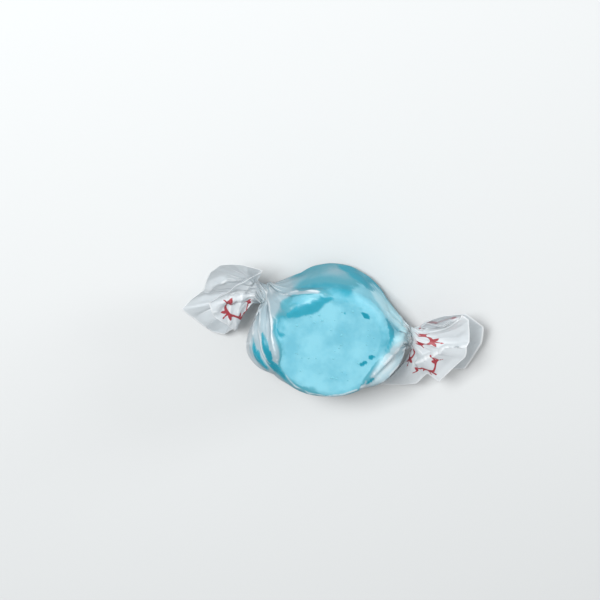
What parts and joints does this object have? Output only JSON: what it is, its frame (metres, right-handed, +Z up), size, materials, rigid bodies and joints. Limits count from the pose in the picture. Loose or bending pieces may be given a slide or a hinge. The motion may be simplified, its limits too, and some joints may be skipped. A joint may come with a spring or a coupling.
{
  "type": "wrapped taffy",
  "caption": "Round taffy candy in translucent waxed paper, with pleated twists that open into ruffled ends.",
  "frame": {"origin": "middle of the bounding box's bottom face, on the surface that the candy lies on", "axes": "+X along the line of the two twists, +Z up through the candy's flat faces"},
  "size_m": [0.0658, 0.029, 0.0174],
  "materials": {
    "taffy": "smooth, slightly waxy pulled sugar, light blue",
    "wrapper": "translucent waxed paper, soft satin, with a red ornament at both ends"
  },
  "bodies": {
    "root": {"taffy": "taffy", "wrapper": "wrapper"}
  },
  "joints": []
}
